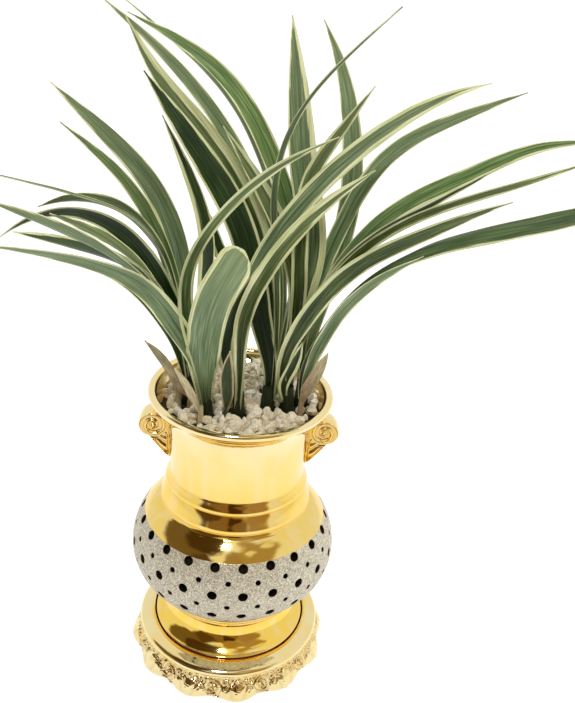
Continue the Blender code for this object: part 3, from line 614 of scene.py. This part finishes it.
def blade_frames(path, along, face, twist):
    """Unit vectors across and off a blade at each station: the facing direction is carried along the
    path square to it, and turned evenly from nothing at the root to `twist` at the tip."""
    tangents = np.gradient(path, axis=0)
    tangents /= np.linalg.norm(tangents, axis=1)[:, None]
    facing = np.array((math.cos(math.radians(face)), math.sin(math.radians(face)), 0.0))
    off = np.empty_like(path)
    for station, tangent in enumerate(tangents):
        facing = facing - tangent * (facing @ tangent)
        facing /= np.linalg.norm(facing)
        off[station] = facing
    across = np.cross(tangents, off)
    turn = np.radians(twist) * along[:, None]
    return across * np.cos(turn) - off * np.sin(turn), off * np.cos(turn) + across * np.sin(turn)


def blade(root, leaf, spread, rng, margins=((1.0, 1.0), (1.0, 1.0)), tone=DARK, blunt=0.0, crinkle=0.25):
    """A folded strap. Each station is a loop over the upper face from left to right and back under it.
    The faces rise from the midrib to both edges by the fold, the midrib itself is a rounded groove, and
    low waves run along each half. With it go the distance from the edge or the tip, the margin's width
    there, the place along and across, all in millimetres, and the leaf's tone."""
    width, face, twist, points = leaf[:4]
    lean = np.subtract(points[0][:2], root)
    start = np.asarray(root) + lean * min(1.0, spread / np.linalg.norm(lean))
    knots = ((*start, LEAF_START), *points)
    length = float(np.linalg.norm(np.diff(knots, axis=0), axis=1).sum())
    along = 1.0 - np.linspace(1.0, 0.0, BLADE_STATIONS) ** (1.0 + 0.6 * blunt)
    path = through(knots, along)
    across, off = blade_frames(path, along, face, twist)
    half = np.maximum(width * width_share(along, blunt), TIP_WIDTH)[:, None] / 2.0
    fold = np.radians(FOLD_AT_BASE + (FOLD_AT_TIP - FOLD_AT_BASE) * np.sqrt(along))[:, None]
    place = np.linspace(-1.0, 1.0, BLADE_ACROSS)[None, :]
    rise = np.sqrt(place**2 + 0.006) - math.sqrt(0.006)
    phase = rng.uniform(0.0, math.tau, 4)
    waves = np.sin(along[:, None] * length / 19.0 + phase[0] + place * 1.7)
    waves = waves + 0.6 * np.sin(along[:, None] * length / 8.5 + phase[1] - place * 2.3)
    wavy = crinkle * waves * np.abs(place) * np.minimum(half / 8.0, 1.0)
    out = place * half * np.cos(fold)
    up = rise * half * np.sin(fold) + wavy
    upper = path[:, None, :] + across[:, None, :] * out[..., None] + off[:, None, :] * up[..., None]
    thick = BLADE_THICK * (0.35 + 0.65 * np.sqrt(np.clip(1.0 - place**2, 0.0, 1.0)))
    lower = upper - off[:, None, :] * np.broadcast_to(thick, upper.shape[:2])[..., None]
    loop = np.concatenate((upper, lower[:, ::-1]), axis=1)
    low_high = np.array(margins)
    wide = low_high[:, :1] + (low_high[:, 1:] - low_high[:, :1]) * along[None, :]
    wide = wide * np.sqrt(width_share(along) * (1.0 - blunt) + blunt + 0.02)
    border = np.where(place < 0.0, wide[0][:, None], wide[1][:, None])
    values = {
        "from_edge": np.minimum((1.0 - np.abs(place)) * half, (1.0 - along[:, None]) * length),
        "margin": border,
        "across_mm": place * half,
        "along_mm": along[:, None] * length + 0.0 * place,
        "share": along[:, None] + 0.0 * place,
    }
    values = {name: np.concatenate((value, value[:, ::-1]), axis=1) for name, value in values.items()}
    under = np.concatenate((np.zeros(BLADE_ACROSS), np.ones(BLADE_ACROSS)))[None, :]
    values["underside"] = under + 0.0 * along[:, None]
    for name, amount in zip(("olive", "grey", "bright"), tone):
        values[name] = np.full(loop.shape[:2], amount)
    values["leaf_seed"] = np.full(loop.shape[:2], rng.random())
    foot, tip = (np.broadcast_to(row.mean(axis=0), loop[:1].shape) for row in (loop[0], loop[-1]))
    loop = np.concatenate((foot, loop, tip))
    values = {name: np.concatenate((value[:1], value, value[-1:])) for name, value in values.items()}
    return sheet(loop, values, closed_columns=True)


def stub(root, radius, top, rng):
    """The round sheathed base of a growth: it narrows upwards, with ribs of a few tenths round it."""
    steps = 28
    heights = np.linspace(BASE_FLOOR, top, 12)
    radii = radius * (1.0 - (1.0 - BASE_TAPER) * (heights - BASE_FLOOR) / (top - BASE_FLOOR))
    profile = np.concatenate((((0.001, BASE_FLOOR),), np.stack((radii, heights), axis=1), ((0.001, top),)))
    points = spun(profile, steps=steps)
    turn = math.tau * np.arange(steps) / steps
    points[..., :2] *= (1.0 + 0.03 * np.sin(9.0 * turn + rng.uniform(0, 6)))[None, :, None]
    points[..., 0] += root[0]
    points[..., 1] += root[1]
    along = (points[..., 2] - BASE_FLOOR) + 0.0 * turn
    arc_length = turn * radius + 0.0 * along
    values = {"from_edge": 9.0, "margin": 0.0, "across_mm": arc_length, "along_mm": along, "share": 0.0}
    values.update({"underside": 0.0, "olive": 0.35, "grey": 0.0, "bright": 0.0, "leaf_seed": rng.random()})
    return sheet(points, values, closed_columns=True)


def make_growths():
    """Each growth is its round base with its blades, in one mesh."""
    for index, (name, (root, leaves)) in enumerate(GROWTHS.items()):
        rng = np.random.default_rng(SEED + 10 + index)
        parts = [stub(root, BASE_RADIUS, BASE_TOP, rng)]
        parts += [blade(root, leaf, LEAF_SPREAD, rng, *leaf[4:]) for leaf in leaves]
        piece(name.replace("growth", "leaves"), joined(parts), LEAF, [name], weld=0.003, crease=70.0)


def make_sheaths():
    """Each dry sheath is a small base with one short, crinkled blade."""
    for index, (name, (root, leaf, brown, fresh)) in enumerate(SHEATHS.items()):
        rng = np.random.default_rng(SEED + 30 + index)
        parts = [stub(root, SHEATH_RADIUS, SHEATH_TOP, rng), blade(root, leaf, SHEATH_SPREAD, rng, crinkle=1.0)]
        points, faces, values = joined(parts)
        values["brown"] = np.full(len(points), brown)
        values["fresh"] = np.full(len(points), fresh)
        husk = name.replace("dry_sheath", "husk")
        piece(husk, (points, faces, values), HUSK, [name], weld=0.003, crease=70.0)


# Materials


def linear(code):
    """An sRGB hex colour as linear RGBA."""
    channels = [int(code[start : start + 2], 16) / 255.0 for start in (0, 2, 4)]
    turned = [c / 12.92 if c <= 0.04045 else ((c + 0.055) / 1.055) ** 2.4 for c in channels]
    return (*turned, 1.0)


# For each kind of node used here: the property that the word after its name sets, its fixed settings, the
# sockets that its values fill in order, and the output that is read.
NODES = {
    "TexCoord": ("", {}, (), "Object"),
    "SeparateXYZ": ("", {}, ("Vector",), "Z"),
    "CombineXYZ": ("", {}, ("X", "Y", "Z"), 0),
    "LightPath": ("", {}, (), "Is Camera Ray"),
    "Attribute": ("attribute_name", {}, (), "Fac"),
    "TexNoise": ("", {}, ("Vector", "Scale", "Detail", "Roughness"), "Fac"),
    "TexVoronoi": ("", {}, ("Vector", "Scale"), "Distance"),
    "ValToRGB": ("", {}, ("Fac",), "Color"),
    "Math": ("operation", {}, (0, 1, 2), 0),
    "VectorMath": ("operation", {}, (0, 1), 0),
    "Mix": ("blend_type", {"data_type": "RGBA"}, (0, 6, 7), 2),
    "MapRange": ("", {"interpolation_type": "SMOOTHSTEP"}, ("Value", "From Min", "From Max"), "Result"),
    "Bump": ("", {}, ("Strength", "Distance", "Height", "Normal"), "Normal"),
}


def fill(made, values):
    """Fills a node's inputs, by name or number, each with another's output, a number or a hex colour."""
    for key, value in values.items():
        if isinstance(value, bpy.types.NodeSocket):
            made.id_data.links.new(value, made.inputs[key])
        else:
            made.inputs[key].default_value = linear(value) if isinstance(value, str) else value


def node(tree, kind, *values, stops=(), read=None):
    """Adds a node with its settings and links, and returns one of its outputs. The kind may be followed
    by a word, such as a Math node's operation; stops are a colour ramp's places and hex colours."""
    kind, _, word = kind.partition(" ")
    word_sets, settings, sockets, output = NODES[kind]
    made = tree.nodes.new("ShaderNode" + kind)
    for key, setting in {**settings, **({word_sets: word} if word else {})}.items():
        setattr(made, key, setting)
    fill(made, dict(zip(sockets, values)))
    for _ in stops[2:]:
        made.color_ramp.elements.new(0.5)
    for element, (place, code) in zip(made.color_ramp.elements if stops else (), stops):
        element.position = place
        element.color = linear(code)
    return made.outputs[output if read is None else read]


def new_material(name):
    """A material with its Principled shader, and the node function bound to its tree."""
    made = bpy.data.materials.new(name)
    made.use_nodes = True
    return made, partial(node, made.node_tree), made.node_tree.nodes["Principled BSDF"]


def gold_lustre():
    """Glazed ceramic under fired gold lustre: a mirror-bright warm metal film that follows the glaze's
    faint orange peel, with the bulb's belt blasted matt and silvery like fine sandpaper."""
    made, add, shader = new_material("fired_gold_lustre_on_glaze")
    place = add("TexCoord")
    height = add("SeparateXYZ", place)
    waver = add("TexNoise", place, 60.0, 2.0)
    height = add("Math ADD", height, add("Math MULTIPLY", add("Math SUBTRACT", waver, 0.5), 0.0012))
    under_top = add("MapRange", height, BAND_TOP * MM + 0.0003, BAND_TOP * MM - 0.0003)
    over_foot = add("MapRange", height, BAND_FOOT * MM - 0.0003, BAND_FOOT * MM + 0.0003)
    out = add("VectorMath LENGTH", add("VectorMath MULTIPLY", place, (1.0, 1.0, 0.0)), read="Value")
    band = add("Math MULTIPLY", under_top, over_foot)
    band = add("Math MULTIPLY", band, add("MapRange", out, 0.0755, 0.0765))
    # Grit of about 1.2 mm, several times as coarse as the real blasting so that it shows.
    grit = add("TexNoise", place, 850.0, 3.0, 0.8)
    coarse = add("TexNoise", place, 300.0, 2.0)
    sand = add("ValToRGB", grit, stops=((0.36, "5f5a4a"), (0.46, "b3ab95"), (0.54, "dfd7c1"), (0.62, "fffdf2")))
    sand = add("Mix", 0.25, sand, add("ValToRGB", coarse, stops=((0.35, "a39b86"), (0.65, "efe8d4"))))
    # The gold is painted paler near the lip and on the saucer, and richer low on the neck and on the foot:
    # a painted reflection of the shoulder's gold and the warm floor, which the lower neck mirrors.
    share = add("Math DIVIDE", height, LIP_TOP * MM)
    gold = add("ValToRGB", share, stops=((0.122, "f2e2ac"), (0.126, "f9d566"), (0.29, "f7cf60"),
                                         (0.56, "f3d67f"), (0.68, "f5d067"), (0.80, "f7de90"),
                                         (0.95, "f8e7b4")))
    cloud = add("TexNoise", place, 22.0, 3.0)
    gold = add("Mix", add("Math MULTIPLY", add("MapRange", cloud, 0.45, 0.65), 0.3), gold, "f6cd58")
    # The lustre was brushed on upwards, which leaves soft upright bands about 12 mm apart.
    strokes = add("VectorMath MULTIPLY", place, (1.0, 1.0, 0.1))
    strokes = add("TexNoise", strokes, 80.0, 2.0)
    gold = add("Mix", add("Math MULTIPLY", add("MapRange", strokes, 0.45, 0.62), 0.3), gold, "f4dfb0")
    # Painted shade in the carving's hollows on the ears and the saucer: the gold darkens to brown there.
    gold = add("Mix", add("Math MULTIPLY", add("Attribute recess"), 0.7), gold, "a8721a")
    glazed = add("Mix", band, gold, sand)
    # The foot's rest ring is glazed but has no lustre: a dark red-brown.
    glazed = add("Mix", add("Attribute bare"), glazed, "7d1f08")
    # The holes' bores are bare of lustre, and their near-black colour is painted shade inside the holes.
    glazed = add("Mix", add("Attribute bore"), glazed, "1b130b")
    metal = add("Math SUBTRACT", 1.0, add("Math MULTIPLY", band, 0.7))
    plain = add("Math ADD", add("Attribute bore"), add("Attribute bare"))
    metal = add("Math MULTIPLY", metal, add("Math SUBTRACT", 1.0, plain))
    haze = add("TexNoise", place, 45.0, 4.0)
    rough = add("Math ADD", add("Math MULTIPLY", haze, 0.09), 0.03)
    rough = add("Math ADD", rough, add("Math MULTIPLY", band, 0.42))
    # Orange peel about 6 mm across and a few hundredths deep.
    peel = add("TexNoise", place, 160.0, 2.0)
    depth = add("Math ADD", add("Math MULTIPLY", peel, 0.06),
                add("Math MULTIPLY", add("Math MULTIPLY", grit, band), 0.5))
    bump = add("Bump", 0.6, 0.0006, depth)
    # The thrown wall is uneven by a few tenths over some 40 mm, which bends long reflections.
    sway = add("TexNoise", place, 26.0, 1.0)
    bump = add("Bump", 0.35, 0.0035, sway, bump)
    fill(shader, {"Base Color": glazed, "Metallic": metal, "Roughness": rough, "Normal": bump})
    return made


def living_leaf():
    """Cymbidium leaf: a thick waxy cuticle over green tissue with close parallel veins, grey-green and
    duller beneath, and cream margins that break into the green as lengthwise streaks."""
    made, add, shader = new_material("waxy_variegated_leaf")
    across, along = add("Attribute across_mm"), add("Attribute along_mm")
    seed = add("Attribute leaf_seed")
    far = add("Math MULTIPLY", seed, 700.0)
    stretched = add("CombineXYZ", across, add("Math MULTIPLY", along, 0.035), far)
    streak = add("TexNoise", stretched, 0.8, 2.5, 0.5)
    # Veins stand about 0.9 mm apart.
    vein = add("TexNoise", stretched, 2.6, 2.0)
    patch_at = add("CombineXYZ", add("Math MULTIPLY", across, 0.05), add("Math MULTIPLY", along, 0.012), far)
    patch = add("TexNoise", patch_at, 1.5, 2.0)
    dark = add("ValToRGB", streak, stops=((0.30, "0e1c06"), (0.50, "1a310d"), (0.72, "375423")))
    olive = add("ValToRGB", streak, stops=((0.30, "27340f"), (0.50, "455623"), (0.72, "7f8d4a")))
    grey = add("ValToRGB", streak, stops=((0.30, "506745"), (0.50, "6d835d"), (0.72, "95a881")))
    bright = add("ValToRGB", streak, stops=((0.30, "4a6836"), (0.50, "6b894f"), (0.72, "93ab70")))
    green = add("Mix", add("Attribute olive"), dark, olive)
    green = add("Mix", add("Attribute bright"), green, bright)
    green = add("Mix", add("Attribute grey"), green, grey)
    under = add("Math MULTIPLY", add("Attribute underside"), 0.08)
    green = add("Mix", under, green, grey)
    green = add("Mix", add("Math MULTIPLY", add("MapRange", patch, 0.48, 0.78), 0.22), green, "6a8244")
    # The midrib's groove is painted as a narrow darker line: painted shade in the groove.
    off_rib = add("Math ABSOLUTE", across)
    green = add("Mix", add("Math MULTIPLY", add("MapRange", off_rib, 0.9, 0.2), 0.5), green, "202c16")
    # Blades are painted darker towards the foot, painted shade where the growths shade each other low down, and all
    # but the dark ones grow paler and greyer towards the tip.
    share = add("Attribute share")
    washed = add("Math MAXIMUM", add("Attribute olive"), add("Attribute grey"))
    washed = add("Math MULTIPLY", add("MapRange", share, 0.35, 0.95),
                 add("Math MULTIPLY_ADD", washed, 0.34, 0.02))
    green = add("Mix", washed, green, "93a37a")
    deep = add("Math MULTIPLY", add("MapRange", share, 0.65, 0.1), 0.45)
    deep = add("Math MULTIPLY", deep, add("Math SUBTRACT", 1.0, add("Attribute grey")))
    green = add("Mix", deep, green, "1d2a12")
    base = add("MapRange", share, 0.24, 0.0)
    green = add("Mix", add("Math MULTIPLY", base, 0.75), green, "17200f")
    inside = add("Math SUBTRACT", add("Attribute margin"), add("Attribute from_edge"))
    ragged = add("Math MULTIPLY", add("Math SUBTRACT", streak, 0.5), 3.0)
    creamy = add("MapRange", add("Math ADD", inside, ragged), -0.3, 0.3)
    cream = add("ValToRGB", streak, stops=((0.28, "b0b77e"), (0.5, "d4d9a6"), (0.72, "f0f1cc")))
    # Painted shade: the cream margins are darkened low on the blade too.
    cream = add("Mix", add("Math MULTIPLY", base, 0.6), cream, "6d7542")
    half_way = add("MapRange", add("Math ADD", inside, ragged), -1.3, 0.1)
    green = add("Mix", add("Math MULTIPLY", half_way, 0.35), green, "7d8a4e")
    rough = add("Math ADD", add("Math MULTIPLY", vein, 0.18), 0.36)
    bump = add("Bump", 0.55, 0.0004, vein)
    fill(shader, {"Base Color": add("Mix", creamy, green, cream), "Roughness": rough, "Normal": bump})
    fill(shader, {"IOR": 1.45, "Specular IOR Level": 0.33})
    fill(shader, {"Subsurface Weight": 0.06, "Subsurface Radius": (0.0006, 0.0012, 0.0003)})
    return made


def dry_husk():
    """Dried sheath: papery dead fibre, matt, ribbed lengthwise, from grey-beige to red-brown."""
    made, add, shader = new_material("papery_dry_sheath")
    across, along = add("Attribute across_mm"), add("Attribute along_mm")
    far = add("Math MULTIPLY", add("Attribute leaf_seed"), 500.0)
    stretched = add("CombineXYZ", across, add("Math MULTIPLY", along, 0.05), far)
    fibre = add("TexNoise", stretched, 1.8, 4.0, 0.6)
    pale = add("ValToRGB", fibre, stops=((0.3, "8f8462"), (0.5, "c6bb94"), (0.7, "e9e0c0")))
    brown = add("ValToRGB", fibre, stops=((0.3, "543626"), (0.5, "865b42"), (0.7, "b98f70")))
    # The brown is deepest at the foot and bleaches towards the tip.
    deep = add("Math MULTIPLY", add("Attribute brown"), add("MapRange", add("Attribute share"), 1.1, 0.1))
    colour = add("Mix", deep, pale, brown)
    # Where a sheath is half dry its middle is still green.
    middle = add("Math MULTIPLY", add("Attribute fresh"), add("MapRange", add("Attribute from_edge"), 0.8, 2.0))
    colour = add("Mix", middle, colour, add("ValToRGB", fibre, stops=((0.3, "222c19"), (0.7, "47562f"))))
    fill(shader, {"Base Color": colour, "Roughness": 0.8, "Normal": add("Bump", 0.8, 0.0006, fibre)})
    return made


def pumice():
    """Washed horticultural pumice: light porous stone, matt, each of its own cream, tan or grey."""
    made, add, shader = new_material("horticultural_pumice")
    place = add("TexCoord")
    shade = add("Attribute stone_shade")
    body = add("ValToRGB", shade, stops=((0.0, "d3c4a2"), (0.2, "f1e8d0"), (0.5, "fbf5e4"), (0.75, "f0e7cf"),
                                         (1.0, "fffdf6")))
    mottle = add("TexNoise", place, 380.0, 4.0)
    body = add("Mix MULTIPLY", 0.5, body, add("ValToRGB", mottle, stops=((0.3, "cdc0a8"), (0.55, "fffdf8"))))
    # Pores about 0.8 mm across.
    pores = add("TexVoronoi", place, 900.0)
    body = add("Mix", add("MapRange", pores, 0.22, 0.05), body, "7d6a55")
    rough = add("TexNoise", place, 700.0, 4.0)
    bump = add("Bump", 0.7, 0.0007, add("Math ADD", rough, pores))
    fill(shader, {"Base Color": body, "Roughness": 0.92, "Normal": bump})
    return made


def orchid_bark():
    """Composted fir bark: dark, damp and crumbly."""
    made, add, shader = new_material("composted_fir_bark")
    place = add("TexCoord")
    crumb = add("TexNoise", place, 240.0, 5.0)
    colour = add("ValToRGB", crumb, stops=((0.3, "120b07"), (0.55, "2c1c12"), (0.75, "4a3322")))
    fill(shader, {"Base Color": colour, "Roughness": 0.9, "Normal": add("Bump", 0.9, 0.0012, crumb)})
    return made


# Stage

TENT_CLOTH = "fbfaf6"
# The tent's parts: azimuth from the front and elevation of the middle, the core's and the edge's
# angular radius, and the colour.
TENT_PARTS = (
    (-8, 4, 24, 31, "8a6c48"),
    (2, 14, 9, 13, "4a3018"),
    (-42, 22, 16, 24, "5d4526"),
    (-76, 38, 20, 27, "75623e"),
    (34, 14, 14, 22, "a98d62"),
    (8, 38, 13, 19, "a98f5e"),
    (40, 46, 16, 23, "b39a6a"),
    (58, 52, 4, 8, "f6eeda"),
    (28, 50, 3, 7, "f6eeda"),
    (-48, 58, 14, 22, "4c371c"),
    (0, 84, 8, 16, "5a4022"),
)
CAMERA_PLACE = (0.0, -0.7004, 0.6860)
CAMERA_PITCH, CAMERA_YAW, CAMERA_ROLL = 26.49, 3.239, 4.660
FOCAL_PIXELS, PHOTO_TALL, SENSOR = 869.02, 703, 36.0


def make_stage():
    """A wide white floor under a light tent: a pale cloth dome with a brown opening at the front and
    flags over it, which the gold mirrors, and three soft boxes. Each part of the tent is a soft-edged
    disc on the dome. The camera sees plain white where the floor ends."""
    made, add, shader = new_material("white_studio_floor")
    glow = add("Math MULTIPLY_ADD", add("LightPath"), 0.12, 0.70)
    fill(shader, {"Base Color": "b4b4b2", "Roughness": 0.9, "Emission Color": "fafbff",
                  "Emission Strength": glow})
    mesh = bpy.data.meshes.new("studio_floor")
    reach = 12.0
    corners = [(-reach, -reach), (reach, -reach), (reach, reach), (-reach, reach)]
    mesh.from_pydata([(*corner, -0.0005) for corner in corners], [], [(0, 1, 2, 3)])
    floor = bpy.data.objects.new("studio_floor", mesh)
    bpy.context.scene.collection.objects.link(floor)
    mesh.materials.append(made)

    world = bpy.data.worlds.new("studio_dome")
    bpy.context.scene.world = world
    world.use_nodes = True
    add = partial(node, world.node_tree)
    way = add("TexCoord", read="Generated")
    waver = add("TexNoise", way, 3.5, 2.0, read="Color")
    waver = add("VectorMath SUBTRACT", waver, (0.5, 0.5, 0.5))
    waver = add("VectorMath MULTIPLY", waver, (0.32, 0.32, 0.32))
    way = add("VectorMath ADD", way, waver)
    way = add("VectorMath NORMALIZE", way)
    dome = linear(TENT_CLOTH)
    for azimuth, elevation, core, edge, colour in TENT_PARTS:
        level = math.cos(math.radians(elevation))
        aim = (math.sin(math.radians(azimuth)) * level, -math.cos(math.radians(azimuth)) * level,
               math.sin(math.radians(elevation)))
        near = add("VectorMath DOT_PRODUCT", way, aim, read="Value")
        mask = add("MapRange", near, math.cos(math.radians(edge)), math.cos(math.radians(core)))
        dome = add("Mix", mask, dome, colour)
    seen = add("LightPath")
    strength = add("Math MULTIPLY_ADD", seen, 0.05, 0.95)
    fill(world.node_tree.nodes["Background"], {"Color": add("Mix", seen, dome, "ffffff"), "Strength": strength})

    for name, place, size, power in (
        ("key_box", (-0.18, -0.93, 1.75), 0.3, 9.0),
        ("fill_box", (1.4, -0.5, 1.3), 0.9, 4.0),
        ("top_box", (0.1, 0.6, 2.0), 1.2, 6.0),
    ):
        lamp = bpy.data.lights.new(name, "AREA")
        lamp.shape = "SQUARE"
        lamp.size = size
        lamp.energy = power
        thing = bpy.data.objects.new(name, lamp)
        thing.visible_glossy = name == "key_box"
        bpy.context.scene.collection.objects.link(thing)
        thing.matrix_world = looking(np.array(place), np.array((0.0, 0.0, 0.28)) - place, 0.0)


def looking(place, way, roll):
    """A camera's or light's matrix: -Z along `way`, Y as near up as it can be, then rolled."""
    ahead = np.asarray(way) / np.linalg.norm(way)
    right = np.cross(ahead, (0.0, 0.0, 1.0))
    right /= np.linalg.norm(right)
    up = np.cross(right, ahead)
    turn = math.radians(roll)
    side = right * math.cos(turn) + up * math.sin(turn)
    top = up * math.cos(turn) - right * math.sin(turn)
    return Matrix([(*row, at) for row, at in zip(np.column_stack((side, top, -ahead)), place)] + [(0, 0, 0, 1)])


def make_camera():
    """The photograph's camera, its place, way and lens fitted to the pot's rims."""
    data = bpy.data.cameras.new("photo_camera")
    data.sensor_width = SENSOR
    data.lens = FOCAL_PIXELS / PHOTO_TALL * SENSOR
    camera = bpy.data.objects.new("photo_camera", data)
    bpy.context.scene.collection.objects.link(camera)
    pitch, yaw = math.radians(CAMERA_PITCH), math.radians(CAMERA_YAW)
    ahead = (math.sin(yaw) * math.cos(pitch), math.cos(yaw) * math.cos(pitch), -math.sin(pitch))
    camera.matrix_world = looking(CAMERA_PLACE, ahead, CAMERA_ROLL)
    bpy.context.scene.camera = camera


GOLD = gold_lustre()
LEAF = living_leaf()
HUSK = dry_husk()
PUMICE = pumice()
BARK = orchid_bark()

make_camera()
make_pot()
make_ears()
make_saucer()
make_bark()
make_stones()
make_growths()
make_sheaths()
make_stage()
bpy.context.scene.view_settings.view_transform = "Standard"
